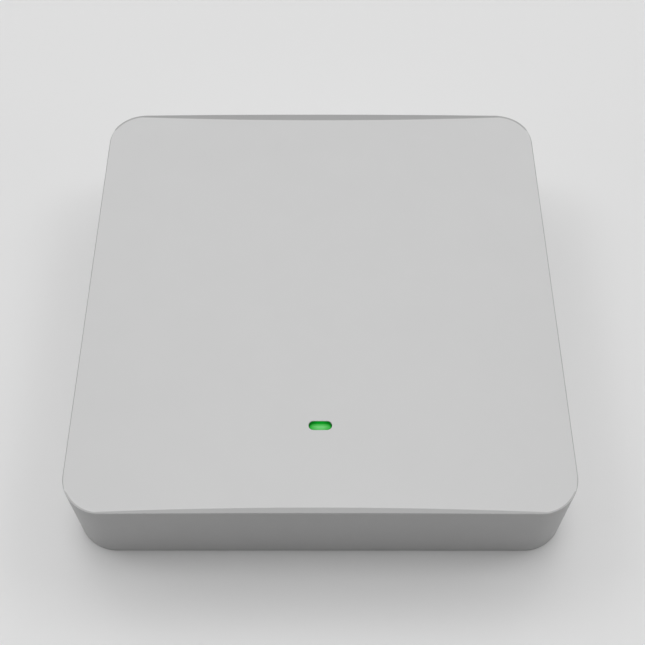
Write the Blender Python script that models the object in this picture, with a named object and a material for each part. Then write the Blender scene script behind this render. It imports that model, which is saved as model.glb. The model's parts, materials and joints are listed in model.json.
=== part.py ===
"""A square ceiling access point, lying on its bracket with its face up.

Sizes are in millimetres and become metres in finish(). +Z points out of the face, and z = 0 is the ceiling
plane.
The status light is near the -Y edge. The bracket, its latch and the mode button are separate moving pieces.
"""
import math

import bmesh
import bpy
from mathutils import Vector

MM = 0.001
GAP = 0.3

# Cover: a drafted square box, open underneath
TOP_WIDTH = 217.3
RIM_WIDTH = 220.0
TOP_CORNER = 17.5
RIM_CORNER = 18.9
RIM_Z = 0.4
FACE_Z = 44.2
FACE_THICKNESS = 2.4
SKIRT_WALL = 2.4
UPPER_WALL = 4.3
LEDGE_Z = 18.2

# Raised lips along the front and back edges of the face: crescents that fade out in the corners
LIP_SLOPE = 0.435
LIP_DEPTH = 2.94
LIP_END_ANGLE = 18.0

# Slot for the status light
LIGHT_Y = -68.5
SLOT_RADIUS = 2.1
SLOT_STRAIGHT = 3.0
CUP_DEPTH = 3.6

# Base casting: a tray with the connector bay pressed up into it
BASE_HALF = RIM_WIDTH / 2 - SKIRT_WALL - 1.1
BASE_CORNER = 16.5
BASE_WALL = 2.6
BASE_BOTTOM = 2.6
BASE_TOP = 16.0
FLOOR_Z = 7.0
FLOOR_TOP = 9.2
BAY_X = 56.0
BAY_Y = (8.0, 60.0)
BAY_ROOF = 21.5
BAY_WALL = 2.0

# Boards
BOARD_HALF = 86.0
BOARD_Z = (24.0, 25.6)
UNDER_BOARD = BOARD_Z[0] - GAP
ON_BOARD = BOARD_Z[1] + GAP
PLATE_HALF = 88.0
PLATE_Z = (32.0, 33.0)
BOARD_SCREW = 78.0
COVER_SCREW = 94.0
PEDESTAL = (-20.0, -25.0)

# Sockets in the bay's back wall, and the mode button beside them
JACK_Y = BAY_Y[1] + BAY_WALL + GAP
JACK_X = {"poe_jack": -40.0, "aux_jack": -21.0, "console_jack": -2.0}
JACK_SIZE = (16.0, 21.0, 13.5)
JACK_MOUTH = (5.95, 12.4, 20.7)
JACK_NOTCH = (3.2, 10.9)
DC_X = 30.0
DC_Z = 17.5
BUTTON_X = 46.0
BUTTON_Z = 17.0

# Bracket, keyholes and latch
BRACKET_HALF_X = 80.0
BRACKET_HALF_Y = 74.0
RAIL_Z = 5.0
SHEET = 1.5
STUD_X = 68.0
STUD_Y = 52.0
SLIDE = 12.0
LATCH_HINGE = Vector((0.0, -20.0, 2.1))
LATCH_SLOPE = 0.3
CATCH_Z = 5.5

MATERIALS = {
    "cover_plastic": ((0.60, 0.60, 0.60), 0.42, 0.0),
    "light_green": ((0.02, 0.42, 0.06), 0.25, 0.0),
    "cast_aluminium": ((0.55, 0.56, 0.57), 0.5, 1.0),
    "galvanised_steel": ((0.62, 0.63, 0.64), 0.38, 1.0),
    "spring_steel": ((0.45, 0.45, 0.46), 0.28, 1.0),
    "screw_steel": ((0.5, 0.5, 0.5), 0.3, 1.0),
    "shield_steel": ((0.7, 0.7, 0.68), 0.3, 1.0),
    "brass": ((0.75, 0.6, 0.3), 0.3, 1.0),
    "gasket_rubber": ((0.03, 0.03, 0.03), 0.8, 0.0),
    "thermal_silicone": ((0.35, 0.45, 0.6), 0.85, 0.0),
    "board_green": ((0.02, 0.13, 0.06), 0.4, 0.0),
    "chip_black": ((0.02, 0.02, 0.022), 0.45, 0.0),
    "ferrite": ((0.05, 0.05, 0.055), 0.6, 0.0),
    "capacitor_sleeve": ((0.02, 0.02, 0.08), 0.35, 0.0),
    "jack_plastic": ((0.03, 0.03, 0.03), 0.4, 0.0),
    "button_plastic": ((0.08, 0.08, 0.08), 0.35, 0.0),
    "led_resin": ((0.8, 0.85, 0.7), 0.3, 0.0),
    "coax_jacket": ((0.03, 0.03, 0.03), 0.45, 0.0),
}


# ---------------------------------------------------------------- scene and materials

def clear_scene():
    for item in list(bpy.data.objects):
        bpy.data.objects.remove(item, do_unlink=True)


def material(name):
    """A Principled material, made once and shared."""
    made = bpy.data.materials.get(name)
    if made:
        return made
    made = bpy.data.materials.new(name)
    made.use_nodes = True
    colour, roughness, metallic = MATERIALS[name]
    shader = made.node_tree.nodes["Principled BSDF"]
    shader.inputs["Base Color"].default_value = (*colour, 1.0)
    shader.inputs["Roughness"].default_value = roughness
    shader.inputs["Metallic"].default_value = metallic
    return made


# ---------------------------------------------------------------- rings of points

def on_circle(centre, radius, angle, z):
    x, y = centre
    return Vector((x + radius * math.cos(angle), y + radius * math.sin(angle), z))


def circle(centre, radius, z, sides=20):
    turn = 2 * math.pi / sides
    return [on_circle(centre, radius, i * turn, z) for i in range(sides)]


def hexagon(centre, across_flats, z):
    """A hexagon with a point in the middle of each side, so that it joins a ring of 12."""
    flat = across_flats / 2
    points = []
    for i in range(12):
        radius = flat if i % 2 else flat / math.cos(math.pi / 6)
        points.append(on_circle(centre, radius, i * math.pi / 6, z))
    return points


def rectangle(centre, half_x, half_y, z):
    x, y = centre
    return [Vector((x + sx * half_x, y + sy * half_y, z)) for sx, sy in ((1, -1), (1, 1), (-1, 1), (-1, -1))]


def pill(centre, straight, radius, z, steps=8):
    """A slot's outline along X: two half circles, their centres `straight` either side of the middle."""
    x, y = centre
    points = []
    for side, start in ((1, -90.0), (-1, 90.0)):
        for i in range(steps + 1):
            angle = math.radians(start + 180.0 * i / steps)
            points.append(on_circle((x + side * straight, y), radius, angle, z))
    return points


def keyhole(centre, wide_offset, narrow, wide, steps=10):
    """A narrow slot whose round end is at the centre, opening into a wide hole further along +Y."""
    x, y = centre
    meet = math.degrees(math.asin(narrow / wide))
    points = []
    for i in range(steps + 1):
        angle = math.radians(180.0 + 180.0 * i / steps)
        points.append((x + narrow * math.cos(angle), y + narrow * math.sin(angle)))
    for i in range(2 * steps + 1):
        angle = math.radians(-90.0 + meet + (360.0 - 2 * meet) * i / (2 * steps))
        points.append((x + wide * math.cos(angle), y + wide_offset + wide * math.sin(angle)))
    return points


CORNER_ANGLES = [0.0, 9.0, LIP_END_ANGLE, 30.0, 42.0, 54.0, 66.0, 78.0, 90.0]


def rounded_square(half, corner, z, edge_steps=1):
    """A square outline with round corners. Corner angles are counted from the front or back edge."""
    middle = half - corner
    points = []
    for sign_x, sign_y in ((1, 1), (-1, 1), (-1, -1), (1, -1)):
        before_edge = sign_x == sign_y
        angles = reversed(CORNER_ANGLES) if before_edge else CORNER_ANGLES
        for angle in map(math.radians, angles):
            x = sign_x * (middle + corner * math.sin(angle))
            y = sign_y * (middle + corner * math.cos(angle))
            points.append(Vector((x, y, z)))
        if before_edge:
            for step in range(1, edge_steps):
                points.append(Vector((sign_x * middle * (1 - 2 * step / edge_steps), sign_y * half, z)))
    return points


# ---------------------------------------------------------------- solids from rings

def loft(mesh, rings):
    """Close a run of equally long rings into one solid, with a flat cap at each end."""
    made = [[mesh.verts.new(point) for point in ring] for ring in rings]
    count = len(made[0])
    for low, high in zip(made, made[1:]):
        for i in range(count):
            j = (i + 1) % count
            mesh.faces.new((low[i], low[j], high[j], high[i]))
    mesh.faces.new(made[0][::-1])
    mesh.faces.new(made[-1])


def add_box(mesh, low, high):
    (x0, y0, z0), (x1, y1, z1) = low, high
    centre = ((x0 + x1) / 2, (y0 + y1) / 2)
    loft(mesh, [rectangle(centre, (x1 - x0) / 2, (y1 - y0) / 2, z) for z in (z0, z1)])


def add_turned(mesh, centre, profile, sides=20):
    """A turned piece on a Z axis, from (radius, z) pairs."""
    loft(mesh, [circle(centre, radius, z, sides) for radius, z in profile])


def add_turned_y(mesh, x, z, profile, sides=16):
    """A turned piece on a Y axis, from (radius, y) pairs."""
    rings = []
    for radius, y in profile:
        rings.append([Vector((x + point.x, y, z + point.y)) for point in circle((0, 0), radius, 0.0, sides)])
    loft(mesh, rings)


def add_prism(mesh, outline, z0, z1):
    """A flat outline of (x, y) pairs, raised from z0 to z1."""
    loft(mesh, [[Vector((x, y, z)) for x, y in outline] for z in (z0, z1)])


def add_profile_x(mesh, profile, half_x):
    """A side profile of (y, z) pairs, drawn out evenly along X."""
    loft(mesh, [[Vector((x, y, z)) for y, z in profile] for x in (-half_x, half_x)])


def add_profile_y(mesh, profile, y0, y1):
    """An end profile of (x, z) pairs, drawn out along Y."""
    loft(mesh, [[Vector((x, y, z)) for x, z in profile] for y in (y0, y1)])


def new_object(name, mesh, origin=Vector((0, 0, 0))):
    """Turn a bmesh in millimetres into an object in metres, with its origin where asked."""
    bmesh.ops.translate(mesh, verts=mesh.verts, vec=-origin)
    bmesh.ops.scale(mesh, verts=mesh.verts, vec=(MM, MM, MM))
    bmesh.ops.recalc_face_normals(mesh, faces=mesh.faces)
    data = bpy.data.meshes.new(name)
    mesh.to_mesh(data)
    mesh.free()
    item = bpy.data.objects.new(name, data)
    item.location = origin * MM
    bpy.context.scene.collection.objects.link(item)
    return item


def finish(name, mesh, finish_name, smooth=False, origin=Vector((0, 0, 0))):
    """A sub-part: its object and material, shaded smooth where it is round."""
    item = new_object(name, mesh, origin)
    item.data.materials.append(material(finish_name))
    if smooth:
        item.data.shade_smooth()
        item.data.set_sharp_from_angle(angle=math.radians(35))
    return item


def combine(target, operation, name, mesh):
    """Cut a helper solid from a sub-part, or join it on, with a Boolean."""
    helper = new_object(f"{target.name}_{name}", mesh)
    helper.hide_render = True
    helper.display_type = "WIRE"
    modifier = target.modifiers.new(name, "BOOLEAN")
    modifier.operation = operation
    modifier.solver = "EXACT"
    modifier.object = helper


def four_corners(distance):
    return [(sx * distance, sy * distance) for sx, sy in ((1, 1), (-1, 1), (-1, -1), (1, -1))]


# ---------------------------------------------------------------- cover

LIP_END_X = TOP_WIDTH / 2 - TOP_CORNER + TOP_CORNER * math.sin(math.radians(LIP_END_ANGLE))
LIP_END_Y = TOP_WIDTH / 2 - TOP_CORNER + TOP_CORNER * math.cos(math.radians(LIP_END_ANGLE))
LIP_MIDDLE_Y = TOP_WIDTH / 2 - LIP_DEPTH


def lip_foot(x):
    """Distance from the middle of the face at which a lip starts to rise."""
    return LIP_MIDDLE_Y + (LIP_END_Y - LIP_MIDDLE_Y) * (x / LIP_END_X) ** 2


def lip_rise(x, y):
    if abs(x) >= LIP_END_X - 1e-6:
        return 0.0
    return LIP_SLOPE * max(0.0, abs(y) - lip_foot(x))


def cover_shell():
    """The outer block: drafted walls, a flat face, and a lip rising to the front and back edges."""
    mesh = bmesh.new()
    rim = [mesh.verts.new(point) for point in rounded_square(RIM_WIDTH / 2, RIM_CORNER, RIM_Z, 12)]
    edge = []
    foot = []
    for point in rounded_square(TOP_WIDTH / 2, TOP_CORNER, FACE_Z, 12):
        rise = lip_rise(point.x, point.y)
        edge.append(mesh.verts.new((point.x, point.y, FACE_Z + rise)))
        inner = Vector((point.x, math.copysign(lip_foot(point.x), point.y), FACE_Z))
        foot.append(mesh.verts.new(inner) if rise > 0 else edge[-1])
    count = len(rim)
    for i in range(count):
        j = (i + 1) % count
        mesh.faces.new((rim[i], rim[j], edge[j], edge[i]))
        lip = list(dict.fromkeys((edge[i], edge[j], foot[j], foot[i])))
        if len(lip) > 2:
            mesh.faces.new(lip)
    mesh.faces.new(foot)
    mesh.faces.new(rim[::-1])
    return mesh


def front_cover():
    cover = finish("front_cover", cover_shell(), "cover_plastic", smooth=True)
    ceiling = FACE_Z - FACE_THICKNESS
    cavity = bmesh.new()
    skirt = RIM_WIDTH / 2 - SKIRT_WALL
    top = TOP_WIDTH / 2 - UPPER_WALL
    loft(cavity, [
        rounded_square(skirt, RIM_CORNER - SKIRT_WALL, RIM_Z - 1),
        rounded_square(skirt - 0.6, RIM_CORNER - SKIRT_WALL - 0.6, LEDGE_Z),
        rounded_square(top + 1, TOP_CORNER - UPPER_WALL + 1, LEDGE_Z),
        rounded_square(top, TOP_CORNER - UPPER_WALL, ceiling),
    ])
    combine(cover, "DIFFERENCE", "cavity", cavity)
    bosses = bmesh.new()
    for corner in four_corners(COVER_SCREW):
        add_turned(bosses, corner, [(4.3, FLOOR_TOP + GAP), (4.8, ceiling + 1)])
    combine(cover, "UNION", "bosses", bosses)
    holes = bmesh.new()
    for corner in four_corners(COVER_SCREW):
        add_turned(holes, corner, [(1.8, FLOOR_TOP - 1), (1.8, 23.0)], 12)
    loft(holes, [pill((0, LIGHT_Y), SLOT_STRAIGHT, SLOT_RADIUS, z) for z in (ceiling - 1, FACE_Z + 3)])
    combine(cover, "DIFFERENCE", "holes", holes)


def light_pipe():
    """A pill-shaped column with a flange under the face and a cup sunk in its top."""
    mesh = bmesh.new()
    body = SLOT_RADIUS - GAP
    flange_top = FACE_Z - FACE_THICKNESS - GAP
    profile = [
        (body, 27.8), (body, flange_top - 1.2), (body + 1.5, flange_top - 1.2), (body + 1.5, flange_top),
        (body, flange_top), (body, FACE_Z - 0.2), (body - 0.45, FACE_Z - 0.2),
        (body - 0.55, FACE_Z - CUP_DEPTH),
    ]
    loft(mesh, [pill((0, LIGHT_Y), SLOT_STRAIGHT, radius, z) for radius, z in profile])
    finish("light_pipe", mesh, "light_green", smooth=True)


def cover_gasket():
    mesh = bmesh.new()
    outer = BASE_HALF - 0.2
    inner = outer - 1.5
    rings = [(inner, BASE_TOP + GAP), (outer, BASE_TOP + GAP), (outer, LEDGE_Z - GAP), (inner, LEDGE_Z - GAP)]
    made = []
    for half, z in rings:
        ring = rounded_square(half, half - BASE_HALF + BASE_CORNER, z)
        made.append([mesh.verts.new(point) for point in ring])
    made.append(made[0])
    count = len(made[0])
    for low, high in zip(made, made[1:]):
        for i in range(count):
            j = (i + 1) % count
            mesh.faces.new((low[i], low[j], high[j], high[i]))
    finish("cover_gasket", mesh, "gasket_rubber")


def cover_screws():
    for number, corner in enumerate(four_corners(COVER_SCREW), 1):
        mesh = bmesh.new()
        head = FLOOR_Z - GAP
        profile = [hexagon(corner, 2.4, 5.4), hexagon(corner, 2.4, 4.2)]
        turned = [(2.9, 4.2), (3.2, 4.6), (3.2, head), (1.5, head), (1.5, 20.0), (0.9, 21.0)]
        loft(mesh, profile + [circle(corner, radius, z, 12) for radius, z in turned])
        finish(f"cover_screw_{number}", mesh, "screw_steel", smooth=True)


# ---------------------------------------------------------------- base casting

def base_casting():
    block = bmesh.new()
    loft(block, [rounded_square(BASE_HALF, BASE_CORNER, z) for z in (BASE_BOTTOM, BASE_TOP)])
    base = finish("base_casting", block, "cast_aluminium")
    pockets = bmesh.new()
    inner = BASE_HALF - BASE_WALL
    corner = BASE_CORNER - BASE_WALL
    loft(pockets, [rounded_square(inner, corner, z) for z in (FLOOR_TOP, BASE_TOP + 1)])
    loft(pockets, [rounded_square(inner, corner, z) for z in (BASE_BOTTOM - 1, FLOOR_Z)])
    combine(base, "DIFFERENCE", "pockets", pockets)
    combine(base, "UNION", "features", base_features())
    bay = bmesh.new()
    add_box(bay, (-BAY_X, BAY_Y[0], FLOOR_Z - 2), (BAY_X, BAY_Y[1], BAY_ROOF))
    combine(base, "DIFFERENCE", "bay", bay)
    combine(base, "DIFFERENCE", "mouths", bay_mouths())
    combine(base, "DIFFERENCE", "holes", base_holes())


def base_features():
    """What stands on the floor or hangs from it, each sunk into it a little."""
    mesh = bmesh.new()
    sunk = FLOOR_TOP - 1.0
    wall = BAY_WALL
    add_box(mesh, (-BAY_X - wall, BAY_Y[0] - wall, sunk), (BAY_X + wall, BAY_Y[1] + wall, BAY_ROOF + wall))
    px, py = PEDESTAL
    loft(mesh, [rectangle(PEDESTAL, 18.0, 18.0, sunk), rectangle(PEDESTAL, 17.0, 17.0, 20.9)])
    for centre in four_corners(BOARD_SCREW):
        add_turned(mesh, centre, [(4.6, sunk), (4.0, UNDER_BOARD)])
    for side in (-1, 1):
        for fin in range(4):
            x = side * (84.6 + 4.4 * fin)
            add_box(mesh, (x - 0.8, -82.0, 3.6), (x + 0.8, 82.0, FLOOR_Z + 1))
    ramp_start = LATCH_HINGE.y - 39.0
    ramp_end = ramp_start - (FLOOR_Z + 0.2 - CATCH_Z) / LATCH_SLOPE
    catch = [
        (ramp_start, FLOOR_Z + 1), (ramp_start, FLOOR_Z + 0.2), (ramp_end, CATCH_Z),
        (-67.0, CATCH_Z), (-67.0, FLOOR_Z + 1),
    ]
    add_profile_x(mesh, catch, 5.0)
    return mesh


def bay_mouths():
    """Openings in the bay's back wall, one for each socket and one for the button."""
    mesh = bmesh.new()
    near = BAY_Y[1] - 1
    far = BAY_Y[1] + BAY_WALL + 1
    for x in JACK_X.values():
        add_box(mesh, (x - 6.6, near, 10.3), (x + 6.6, far, 21.0))
    add_turned_y(mesh, DC_X, DC_Z, [(4.0, near), (4.0, far)])
    add_turned_y(mesh, BUTTON_X, BUTTON_Z, [(2.3, near), (2.3, far)])
    return mesh


def base_holes():
    mesh = bmesh.new()
    for centre in four_corners(BOARD_SCREW):
        add_turned(mesh, centre, [(1.4, 15.0), (1.4, UNDER_BOARD + 1)], 12)
    for centre in four_corners(COVER_SCREW):
        add_turned(mesh, centre, [(1.9, FLOOR_Z - 1), (1.9, FLOOR_TOP + 1)], 12)
    for centre in stud_places():
        add_turned(mesh, centre, [(2.3, FLOOR_Z - 1), (2.3, FLOOR_TOP + 1)], 12)
    return mesh


def stud_places():
    return [(sx * STUD_X, sy * STUD_Y) for sx, sy in ((1, 1), (-1, 1), (-1, -1), (1, -1))]


def mount_studs():
    """Shouldered studs, swaged over above the floor."""
    for number, centre in enumerate(stud_places(), 1):
        mesh = bmesh.new()
        top = FLOOR_TOP + GAP
        head = RAIL_Z - GAP
        profile = [
            (3.4, head - 1.8), (4.0, head - 1.3), (4.0, head), (2.0, head),
            (2.0, top), (3.2, top), (2.6, top + 1),
        ]
        add_turned(mesh, centre, profile)
        finish(f"mount_stud_{number}", mesh, "screw_steel", smooth=True)


# ---------------------------------------------------------------- bracket and latch

def mounting_bracket():
    """A pressed plate: the middle lies on the ceiling, and a raised rail on each side takes two studs."""
    mesh = bmesh.new()
    under = [
        (-BRACKET_HALF_X, RAIL_Z), (-60.5, RAIL_Z), (-56.0, 0.0),
        (56.0, 0.0), (60.5, RAIL_Z), (BRACKET_HALF_X, RAIL_Z),
    ]
    over = [
        (BRACKET_HALF_X, RAIL_Z + SHEET), (59.8, RAIL_Z + SHEET), (55.3, SHEET),
        (-55.3, SHEET), (-59.8, RAIL_Z + SHEET), (-BRACKET_HALF_X, RAIL_Z + SHEET),
    ]
    add_profile_y(mesh, under + over, -BRACKET_HALF_Y, BRACKET_HALF_Y)
    bracket = finish("mounting_bracket", mesh, "galvanised_steel")
    plan = bmesh.new()
    corner = 8.0
    loft(plan, [rounded_plan(BRACKET_HALF_X, BRACKET_HALF_Y, corner, z) for z in (-2.0, RAIL_Z + 4)])
    combine(bracket, "INTERSECT", "plan", plan)
    cuts = bmesh.new()
    low = -1.0
    high = RAIL_Z + SHEET + 1
    add_prism(cuts, [(point.x, point.y) for point in rounded_plan(50.0, 28.0, 4.0, 0.0, 34.0)], low, high)
    for x, y in stud_places():
        add_prism(cuts, keyhole((x, y), SLIDE, 2.4, 5.0), RAIL_Z - 1, high)
    add_box(cuts, (-7.0, -68.0, low), (7.0, LATCH_HINGE.y - 2, high))
    add_turned(cuts, (0, -12.0), [(1.7, low), (1.7, 3.0)], 12)
    for side in (-1, 1):
        loft(cuts, [pill((side * 25.0, 68.0), 6.0, 1.9, z) for z in (low, 3.0)])
        slot = pill((0, 0), 8.0, 1.9, 0.0)
        add_prism(cuts, [(side * 30.0 - point.y, -42.0 + point.x) for point in slot], low, 3.0)
    combine(bracket, "DIFFERENCE", "cuts", cuts)


def rounded_plan(half_x, half_y, corner, z, centre_y=0.0):
    """A rectangle with round corners."""
    points = []
    for quarter, (sx, sy) in enumerate(((1, 1), (-1, 1), (-1, -1), (1, -1))):
        for i in range(6):
            angle = math.radians(90.0 * quarter + 18.0 * i)
            x = sx * (half_x - corner) + corner * math.cos(angle)
            y = sy * (half_y - corner) + corner * math.sin(angle)
            points.append(Vector((x, centre_y + y, z)))
    return points


def latch():
    """A leaf spring in two pieces that meet at the line where it bends, and the rivet that holds it."""
    low = SHEET + GAP
    high = low + 0.6
    root = bmesh.new()
    add_box(root, (-8.0, LATCH_HINGE.y + GAP, low), (8.0, -4.0, high))
    root_item = finish("latch_root", root, "spring_steel")
    hole = bmesh.new()
    add_turned(hole, (0, -12.0), [(1.7, 1.0), (1.7, 3.0)], 12)
    combine(root_item, "DIFFERENCE", "rivet_hole", hole)

    tip_low = 4.6
    tip_high = tip_low + 0.6
    apex_y = LATCH_HINGE.y - 40.0
    apex_z = 6.6
    start = LATCH_HINGE.y - GAP
    foot_y = apex_y - (apex_z - tip_high) / LATCH_SLOPE
    tongue = bmesh.new()
    profile = [
        (start, low), (-62.0, tip_low), (-66.0, tip_low), (-66.0, tip_high), (foot_y, tip_high),
        (apex_y, apex_z), (apex_y + 1.2, 5.0), (start, high),
    ]
    add_profile_x(tongue, profile, 6.0)
    finish("latch_tongue", tongue, "spring_steel", origin=LATCH_HINGE)

    rivet = bmesh.new()
    add_turned(rivet, (0, -12.0), [(1.4, 0.2), (1.4, high + GAP), (3.0, high + GAP), (2.4, high + 1.3)], 16)
    finish("latch_rivet", rivet, "screw_steel", smooth=True)


# ---------------------------------------------------------------- boards and what is on them

def block(name, finish_name, centre, size, z0, z1, taper=0.0):
    mesh = bmesh.new()
    half_x, half_y = size[0] / 2, size[1] / 2
    loft(mesh, [rectangle(centre, half_x, half_y, z0), rectangle(centre, half_x - taper, half_y - taper, z1)])
    return finish(name, mesh, finish_name)


def flat_board(name, finish_name, half, corner, z_range):
    mesh = bmesh.new()
    loft(mesh, [rounded_plan(half, half, corner, z) for z in z_range])
    return finish(name, mesh, finish_name)


def main_board():
    board = flat_board("main_board", "board_green", BOARD_HALF, 4.0, BOARD_Z)
    holes = bmesh.new()
    for centre in four_corners(BOARD_SCREW):
        add_turned(holes, centre, [(1.5, BOARD_Z[0] - 1), (1.5, BOARD_Z[1] + 1)], 12)
    combine(board, "DIFFERENCE", "holes", holes)


def antenna_plate():
    plate = flat_board("antenna_plate", "shield_steel", PLATE_HALF, 6.0, PLATE_Z)
    low = PLATE_Z[0] - 1
    high = PLATE_Z[1] + 1
    holes = bmesh.new()
    for centre in four_corners(BOARD_SCREW):
        add_turned(holes, centre, [(1.4, low), (1.4, high)], 12)
    for feed, _ in antenna_places():
        add_turned(holes, feed, [(1.8, low), (1.8, high)], 12)
    loft(holes, [pill((0, LIGHT_Y), SLOT_STRAIGHT, 2.8, z) for z in (low, high)])
    combine(plate, "DIFFERENCE", "holes", holes)


def processor_and_memory():
    px, py = PEDESTAL
    block("thermal_pad", "thermal_silicone", PEDESTAL, (20.0, 20.0), 21.2, 22.0)
    block("processor", "chip_black", PEDESTAL, (21.0, 21.0), 22.3, UNDER_BOARD)
    for number, offset in enumerate((-9.0, 9.0), 1):
        block(f"memory_chip_{number}", "chip_black", (px + 28.0, py + offset), (13.0, 9.0), 22.6, UNDER_BOARD)


def radio_parts():
    """A shield can with open underside over each radio chip."""
    wall = 0.5
    for number, x in enumerate((-45.0, 45.0), 1):
        centre = (x, 15.0)
        top = 29.6
        can = bmesh.new()
        loft(can, [
            rectangle(centre, 22.0 - wall, 16.0 - wall, top - wall),
            rectangle(centre, 22.0 - wall, 16.0 - wall, ON_BOARD),
            rectangle(centre, 22.0, 16.0, ON_BOARD),
            rectangle(centre, 22.0, 16.0, top),
        ])
        finish(f"radio_shield_{number}", can, "shield_steel")
        block(f"radio_chip_{number}", "chip_black", centre, (12.0, 12.0), ON_BOARD, ON_BOARD + 1.1)


def power_parts():
    transformer = bmesh.new()
    centre = (72.0, 20.0)
    loft(transformer, [
        rectangle(centre, 8.0, 7.0, 11.7), rectangle(centre, 8.0, 7.0, 20.2),
        rectangle(centre, 9.0, 9.0, 20.2), rectangle(centre, 9.0, 9.0, UNDER_BOARD),
    ])
    finish("poe_transformer", transformer, "ferrite")
    for number, y in enumerate((-4.0, -17.0), 1):
        can = bmesh.new()
        profile = [(4.6, 11.2), (5.0, 11.6), (5.0, 21.6), (4.6, 22.1), (5.0, 22.6), (5.0, UNDER_BOARD)]
        add_turned(can, (71.0, y), profile)
        finish(f"bulk_capacitor_{number}", can, "capacitor_sleeve", smooth=True)
    block("lan_magnetics", "chip_black", (15.5, 72.0), (13.0, 16.0), 17.7, UNDER_BOARD)


def status_led():
    block("status_led", "led_resin", (0.0, LIGHT_Y), (3.5, 2.8), ON_BOARD, ON_BOARD + 1.5, 0.3)


def standoffs():
    for number, centre in enumerate(four_corners(BOARD_SCREW), 1):
        mesh = bmesh.new()
        top = PLATE_Z[0] - GAP
        loft(mesh, [
            circle(centre, 0.8, 16.5, 12), circle(centre, 1.1, 17.0, 12), circle(centre, 1.1, ON_BOARD, 12),
            hexagon(centre, 5.0, ON_BOARD), hexagon(centre, 5.0, top),
            circle(centre, 1.2, top, 12), circle(centre, 1.2, 27.8, 12),
        ])
        finish(f"standoff_{number}", mesh, "brass", smooth=True)


def plate_screws():
    for number, centre in enumerate(four_corners(BOARD_SCREW), 1):
        mesh = bmesh.new()
        head = PLATE_Z[1] + GAP
        turned = [(0.9, 28.5), (0.9, head), (2.2, head), (2.2, head + 1.0), (1.9, head + 1.5)]
        rings = [circle(centre, radius, z, 12) for radius, z in turned]
        loft(mesh, rings + [hexagon(centre, 2.0, head + 1.5), hexagon(centre, 2.0, head + 0.7)])
        finish(f"plate_screw_{number}", mesh, "screw_steel", smooth=True)


# ---------------------------------------------------------------- antennas and their cables

def antenna_places():
    """Each antenna's feed point on the plate, and the way its arm points."""
    return [
        ((52.0, 44.0), (1, 0)), ((-52.0, 44.0), (-1, 0)),
        ((-52.0, -44.0), (0, -1)), ((52.0, -44.0), (0, -1)),
    ]


def antennas():
    """Stamped inverted-F strips: a foot, a short leg, a long arm and a feed leg."""
    low = PLATE_Z[1] + GAP
    thin = 0.5
    feed = 6.0
    profile = [
        (-9.0, low), (thin, low), (thin, 40.5), (feed - thin / 2, 40.5), (feed - thin / 2, 35.2),
        (feed + thin / 2, 35.2), (feed + thin / 2, 40.5), (30.0, 40.5), (30.0, 41.0), (0.0, 41.0),
        (0.0, low + thin), (-9.0, low + thin),
    ]
    for number, (place, way) in enumerate(antenna_places(), 1):
        along = Vector((way[0], way[1], 0.0))
        across = Vector((-way[1], way[0], 0.0))
        rings = []
        for side in (-4.0, 4.0):
            rings.append([Vector((*place, z)) + along * (u - feed) + across * side for u, z in profile])
        mesh = bmesh.new()
        loft(mesh, rings)
        finish(f"antenna_{number}", mesh, "brass")


def connector_places():
    return [(18.0, 22.0), (-18.0, 22.0), (-18.0, 8.0), (18.0, 8.0)]


def coax_connectors():
    for number, centre in enumerate(connector_places(), 1):
        mesh = bmesh.new()
        low = ON_BOARD
        add_turned(mesh, centre, [(1.5, low), (1.5, low + 0.7), (1.1, low + 0.8), (1.1, low + 1.4)], 12)
        finish(f"coax_connector_{number}", mesh, "brass", smooth=True)


def smooth_path(points, steps):
    """Points along a smooth curve through the given ones (Catmull-Rom)."""
    ends = [points[0] * 2 - points[1]] + points + [points[-1] * 2 - points[-2]]
    path = []
    for a, b, c, d in zip(ends, ends[1:], ends[2:], ends[3:]):
        for step in range(steps):
            t = step / steps
            bend = (2 * a - 5 * b + 4 * c - d) * t ** 2 + (3 * b - a - 3 * c + d) * t ** 3
            path.append(0.5 * (2 * b + (c - a) * t + bend))
    return path + [points[-1]]


def coax_route(number):
    """From above its connector, along the board, then up through the antenna plate to the feed leg."""
    x, y = connector_places()[number - 1]
    (feed_x, feed_y), _ = antenna_places()[number - 1]
    side = math.copysign(1, feed_x)
    if feed_y > 0:
        run = [(18.0, y + 5, 28.35), (20.5, 34.0, 27.6), (29.0, 39.5, 27.0)]
        run += [(40.0, 42.5, 27.0), (48.5, 43.7, 27.9)]
    else:
        run = [(18.0, y - 5, 28.35), (20.0, -6.0, 27.6), (27.0, -18.0, 27.0)]
        run += [(39.0, -33.0, 27.0), (49.0, -41.6, 27.9)]
    route = [Vector((x, y, 28.35))]
    route += [Vector((side * run_x, run_y, z)) for run_x, run_y, z in run]
    route += [Vector((feed_x, feed_y, 31.2)), Vector((feed_x, feed_y, 34.9))]
    return route


def coax_cables():
    for number in range(1, 5):
        curve = bpy.data.curves.new(f"coax_{number}", "CURVE")
        curve.dimensions = "3D"
        curve.bevel_depth = 0.65 * MM
        curve.bevel_resolution = 2
        curve.use_fill_caps = True
        curve.render_resolution_u = curve.resolution_u
        points = smooth_path(coax_route(number), 4)
        spline = curve.splines.new("POLY")
        spline.points.add(len(points) - 1)
        for knot, point in zip(spline.points, points):
            knot.co = (*(point * MM), 1.0)
        curve.materials.append(material("coax_jacket"))
        bpy.context.scene.collection.objects.link(bpy.data.objects.new(f"coax_{number}", curve))


# ---------------------------------------------------------------- sockets and mode button

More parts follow.
